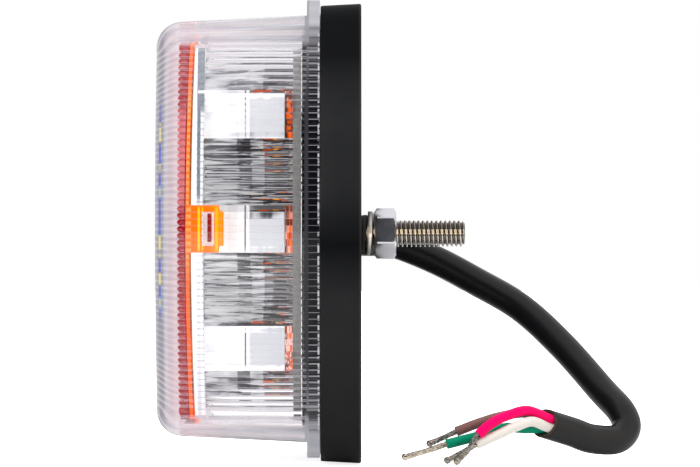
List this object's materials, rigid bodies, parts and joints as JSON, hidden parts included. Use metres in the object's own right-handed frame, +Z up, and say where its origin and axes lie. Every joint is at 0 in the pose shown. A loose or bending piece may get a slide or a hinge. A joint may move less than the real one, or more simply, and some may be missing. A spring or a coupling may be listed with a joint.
{
  "type": "trailer tail light",
  "caption": "Sealed LED combination tail lamp with a clear bowed lens over red and amber inner lenses, a shallow black housing, threaded mounting studs and a four-core cable.",
  "frame": {"origin": "centre of the flat back face of the housing, the face that lies against the bodywork", "axes": "+X out of the back along the studs, +Z up, the lens faces -X"},
  "size_m": [0.1085, 0.1012, 0.1028],
  "materials": {
    "black_plastic": "satin moulded ABS",
    "clear_lens": "clear acrylic, fluted sides",
    "red_lens": "red acrylic",
    "amber_lens": "amber acrylic",
    "metallised_plastic": "vacuum metallised",
    "board": "fibreglass board",
    "seal_rubber": "matt",
    "led_body": "moulded package",
    "led_amber": "amber encapsulant",
    "chip_body": "moulded package",
    "ceramic": "ceramic",
    "steel": "plain stainless steel",
    "grommet_rubber": "matt",
    "cable_jacket": "satin PVC",
    "insulation_red": "PVC insulation",
    "insulation_white": "PVC insulation",
    "insulation_green": "PVC insulation",
    "insulation_brown": "PVC insulation",
    "tinned_copper": "twisted tinned strands"
  },
  "bodies": {
    "lamp": {"housing": "black_plastic", "lens": "clear_lens", "lens_seal": "seal_rubber", "red_inner_lens": "red_lens", "amber_inner_lens": "amber_lens", "reflector": "metallised_plastic", "circuit_board": "board", "regulator": "chip_body", "diode_tail": "chip_body", "diode_stop": "chip_body", "diode_indicator": "chip_body", "capacitor": "ceramic", "resistor_1": "chip_body", "resistor_2": "chip_body", "resistor_3": "chip_body", "resistor_4": "chip_body", "cable_grommet": "grommet_rubber", "cable_jacket_root": "cable_jacket", "led_red_top_left": "led_body", "led_red_top_centre": "led_body", "led_red_top_right": "led_body", "amber_led_bar_top": "led_amber", "led_amber_middle_left": "led_amber", "led_amber_middle_centre": "led_amber", "led_amber_middle_right": "led_amber", "amber_led_bar_middle": "led_amber", "led_red_bottom_left": "led_body", "led_red_bottom_centre": "led_body", "led_red_bottom_right": "led_body", "amber_led_bar_bottom": "led_amber", "board_screw_1": "steel", "board_screw_2": "steel", "board_screw_3": "steel", "board_screw_4": "steel", "stud_left": "steel", "stud_seal_left": "seal_rubber", "stud_right": "steel", "stud_seal_right": "seal_rubber", "board_lead_red": "insulation_red", "board_lead_white": "insulation_white", "board_lead_green": "insulation_green", "board_lead_brown": "insulation_brown"},
    "cable_tail": {"cable_jacket_tail": "cable_jacket", "wire_red": "insulation_red", "strand_red": "tinned_copper", "wire_white": "insulation_white", "strand_white": "tinned_copper", "wire_green": "insulation_green", "strand_green": "tinned_copper", "wire_brown": "insulation_brown", "strand_brown": "tinned_copper"},
    "washer_left": {"spring_washer_left": "steel"},
    "nut_left": {"nut_left": "steel"},
    "washer_right": {"spring_washer_right": "steel"},
    "nut_right": {"nut_right": "steel"}
  },
  "joints": [
    {"name": "washer_left_travel", "type": "slide", "parent": "lamp", "child": "washer_left", "axis": [1, 0, 0], "range_m": [0, 0.015]},
    {"name": "nut_left_spin", "type": "hinge", "parent": "washer_left", "child": "nut_left", "pos_m": [0.00537, -0.025, 0], "axis": [1, 0, 0], "range_deg": [0, 5401]},
    {"name": "washer_right_travel", "type": "slide", "parent": "lamp", "child": "washer_right", "axis": [1, 0, 0], "range_m": [0, 0.015]},
    {"name": "nut_right_spin", "type": "hinge", "parent": "washer_right", "child": "nut_right", "pos_m": [0.00537, 0.025, 0], "axis": [1, 0, 0], "range_deg": [0, 5401]},
    {"name": "cable_bend", "type": "hinge", "parent": "lamp", "child": "cable_tail", "pos_m": [0.005, 0.009, -0.0019], "axis": [0, -1, 0], "range_deg": [-2, 30]}
  ],
  "couplings": [
    {"joint": "nut_left_spin", "follows": "washer_left_travel", "rad_per_m": 6283.2},
    {"joint": "nut_right_spin", "follows": "washer_right_travel", "rad_per_m": 6283.2}
  ]
}
